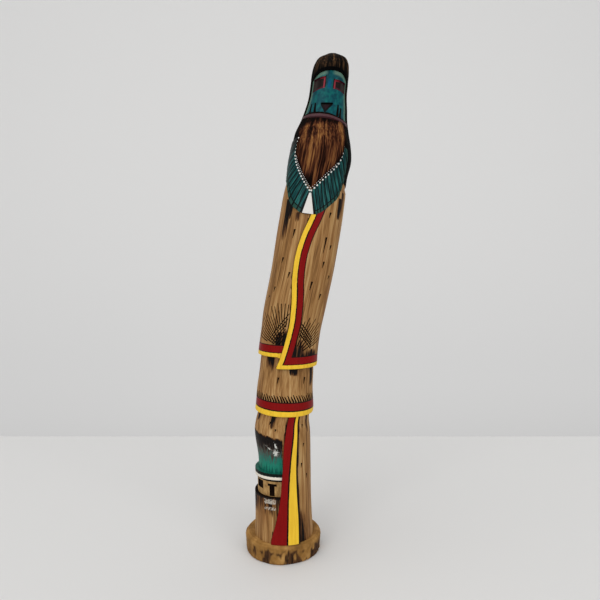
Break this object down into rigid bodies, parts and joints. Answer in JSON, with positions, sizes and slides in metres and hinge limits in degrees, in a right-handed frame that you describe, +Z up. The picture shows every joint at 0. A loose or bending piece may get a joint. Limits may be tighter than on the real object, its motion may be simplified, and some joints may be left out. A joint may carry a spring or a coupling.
{
  "type": "kachina figure",
  "caption": "Tall slender kachina figure carved from one bent cottonwood root and painted, with mask, feather collar, robe and sash, standing on a slice of branch.",
  "frame": {"origin": "centre of the branch slice's flat underside, where the doll rests on a shelf", "axes": "+Z up along the figure, -Y the way the figure faces, +X to the right as seen from the front"},
  "size_m": [0.1294, 0.0935, 0.607],
  "materials": {
    "painted_root": "sanded cottonwood root, burned lines, satin acrylic paint in turquoise, red, yellow, black and white",
    "bark_slice": "sawn branch slice with worn bark edge, matt brown stain"
  },
  "bodies": {
    "root": {"figure": "painted_root", "base_slice": "bark_slice"}
  },
  "joints": []
}
